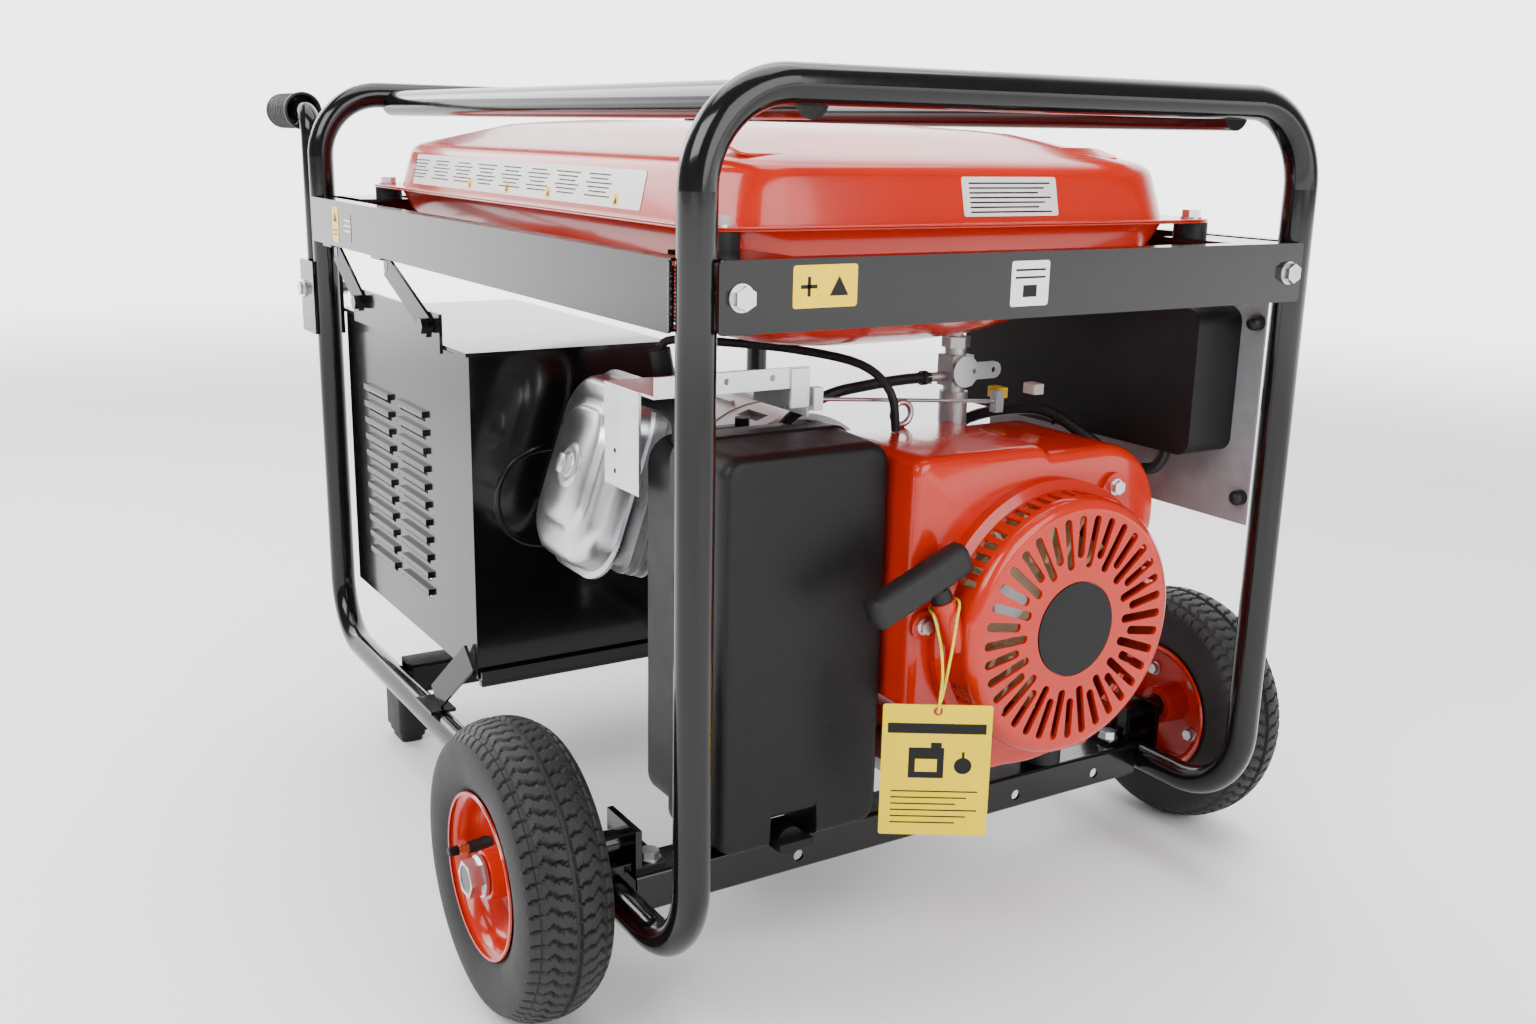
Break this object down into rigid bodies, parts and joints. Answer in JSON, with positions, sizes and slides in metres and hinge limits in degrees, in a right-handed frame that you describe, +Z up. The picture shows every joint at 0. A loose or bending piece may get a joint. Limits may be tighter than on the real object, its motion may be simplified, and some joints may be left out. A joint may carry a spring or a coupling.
{
  "type": "portable generator",
  "caption": "Open-frame portable petrol generator: tube frame on two wheels and two feet, top tank, fold handles, engine, alternator, silencer and socket panel.",
  "frame": {"origin": "centre of the bounding box footprint, on the floor", "axes": "+X along the machine towards the recoil starter, +Y towards the socket panel, +Z up"},
  "size_m": [0.9502, 0.7352, 0.6565],
  "materials": {
    "steel_black": "gloss black powder coat",
    "zinc": "zinc plated",
    "tank_red": "gloss orange-red enamel",
    "tyre": "matt rubber",
    "rubber": "matt",
    "alu": "die cast",
    "plastic": "satin black",
    "panel_grey": "satin grey",
    "silencer": "heat-stained steel",
    "fan": "natural nylon",
    "label": null,
    "yellow": "yellow card and string"
  },
  "bodies": {
    "frame": {"hoop_front": "steel_black", "hoop_rear": "steel_black", "low_rails": "steel_black", "top_rails": "steel_black", "end_beams": "steel_black", "side_beams": "steel_black", "fasteners": "zinc", "cross_front": "steel_black", "cross_rear": "steel_black", "engine_mounts": "rubber", "rubber_feet": "rubber", "axle_brackets": "steel_black", "handle_brackets": "steel_black", "tank_upper": "tank_red", "tank_lower": "tank_red", "tank_pads": "rubber", "crankcase": "alu", "cylinder_head": "alu", "rocker_cover": "zinc", "wiring": "rubber", "blower_shroud": "tank_red", "recoil_cover": "tank_red", "recoil_disc": "plastic", "carburettor": "alu", "control_bracket": "zinc", "air_base": "plastic", "air_cover": "plastic", "breather_hose": "rubber", "silencer_shield": "steel_black", "silencer_body": "silencer", "silencer_hangers": "steel_black", "stator": "alu", "panel_plate": "panel_grey", "panel_box": "plastic", "panel_fittings": "plastic", "tap_body": "alu", "fuel_hose": "rubber", "decals": "label", "tag_string": "yellow", "hang_tag": "yellow"},
    "wheel_near": {"tyre_near": "tyre", "rim_near": "tank_red"},
    "wheel_far": {"tyre_far": "tyre", "rim_far": "tank_red"},
    "handle_near": {"handle_arm_near": "steel_black", "handle_grip_near": "rubber"},
    "handle_far": {"handle_arm_far": "steel_black", "handle_grip_far": "rubber"},
    "crank": {"flywheel": "fan", "rotor": "zinc"},
    "starter_grip": {"starter_grip": "rubber"},
    "tank_cap": {"tank_cap": "plastic"},
    "air_knob": {"air_knob": "plastic"},
    "dipstick": {"dipstick": "plastic"},
    "choke_lever": {"choke_lever": "plastic"},
    "tap_lever": {"tap_lever": "zinc"},
    "socket_lid_a": {"socket_lid_a": "plastic"},
    "socket_lid_b": {"socket_lid_b": "plastic"},
    "engine_switch": {"engine_switch": "plastic"},
    "breaker": {"breaker": "plastic"}
  },
  "joints": [
    {"name": "wheel_near_spin", "type": "hinge", "parent": "frame", "child": "wheel_near", "pos_m": [0.31992, -0.329, 0.1075], "axis": [0, 1, 0], "continuous": true},
    {"name": "wheel_far_spin", "type": "hinge", "parent": "frame", "child": "wheel_far", "pos_m": [0.31992, 0.329, 0.1075], "axis": [0, 1, 0], "continuous": true},
    {"name": "crank_spin", "type": "hinge", "parent": "frame", "child": "crank", "pos_m": [0.05992, 0.082, 0.253], "axis": [1, 0, 0], "continuous": true},
    {"name": "handle_near_fold", "type": "hinge", "parent": "frame", "child": "handle_near", "pos_m": [-0.36508, -0.262, 0.447], "axis": [0, -1, 0], "range_deg": [0, 90]},
    {"name": "handle_far_fold", "type": "hinge", "parent": "frame", "child": "handle_far", "pos_m": [-0.36508, 0.262, 0.447], "axis": [0, -1, 0], "range_deg": [0, 90]},
    {"name": "starter_pull", "type": "slide", "parent": "frame", "child": "starter_grip", "axis": [0, -0.3907, 0.9205], "range_m": [0, 0.12], "stiffness_N_per_m": 60, "springref_m": -0.02},
    {"name": "tank_cap_turn", "type": "hinge", "parent": "frame", "child": "tank_cap", "pos_m": [0.01992, 0, 0.624], "axis": [0, 0, 1], "range_deg": [0, 90]},
    {"name": "air_knob_turn", "type": "hinge", "parent": "frame", "child": "air_knob", "pos_m": [0.36992, -0.128, 0.098], "axis": [1, 0, 0], "range_deg": [0, 180]},
    {"name": "dipstick_turn", "type": "hinge", "parent": "frame", "child": "dipstick", "pos_m": [0.20992, -0.0085, 0.193], "axis": [0, 1, 0], "range_deg": [0, 180]},
    {"name": "choke_turn", "type": "hinge", "parent": "frame", "child": "choke_lever", "pos_m": [0.20992, -0.118, 0.38], "axis": [0, 0, 1], "range_deg": [0, 60]},
    {"name": "tap_turn", "type": "hinge", "parent": "frame", "child": "tap_lever", "pos_m": [0.27252, 0.093, 0.427], "axis": [-1, 0, 0], "range_deg": [0, 90]},
    {"name": "socket_lid_a_open", "type": "hinge", "parent": "frame", "child": "socket_lid_a", "pos_m": [0.17992, 0.2627, 0.4426], "axis": [1, 0, 0], "range_deg": [0, 110]},
    {"name": "socket_lid_b_open", "type": "hinge", "parent": "frame", "child": "socket_lid_b", "pos_m": [0.25992, 0.2627, 0.4426], "axis": [1, 0, 0], "range_deg": [0, 110]},
    {"name": "engine_switch_turn", "type": "hinge", "parent": "frame", "child": "engine_switch", "pos_m": [0.39492, 0.246, 0.412], "axis": [0, 1, 0], "range_deg": [0, 60]},
    {"name": "breaker_rock", "type": "hinge", "parent": "frame", "child": "breaker", "pos_m": [0.33992, 0.246, 0.4], "axis": [1, 0, 0], "range_deg": [-14, 14]}
  ]
}
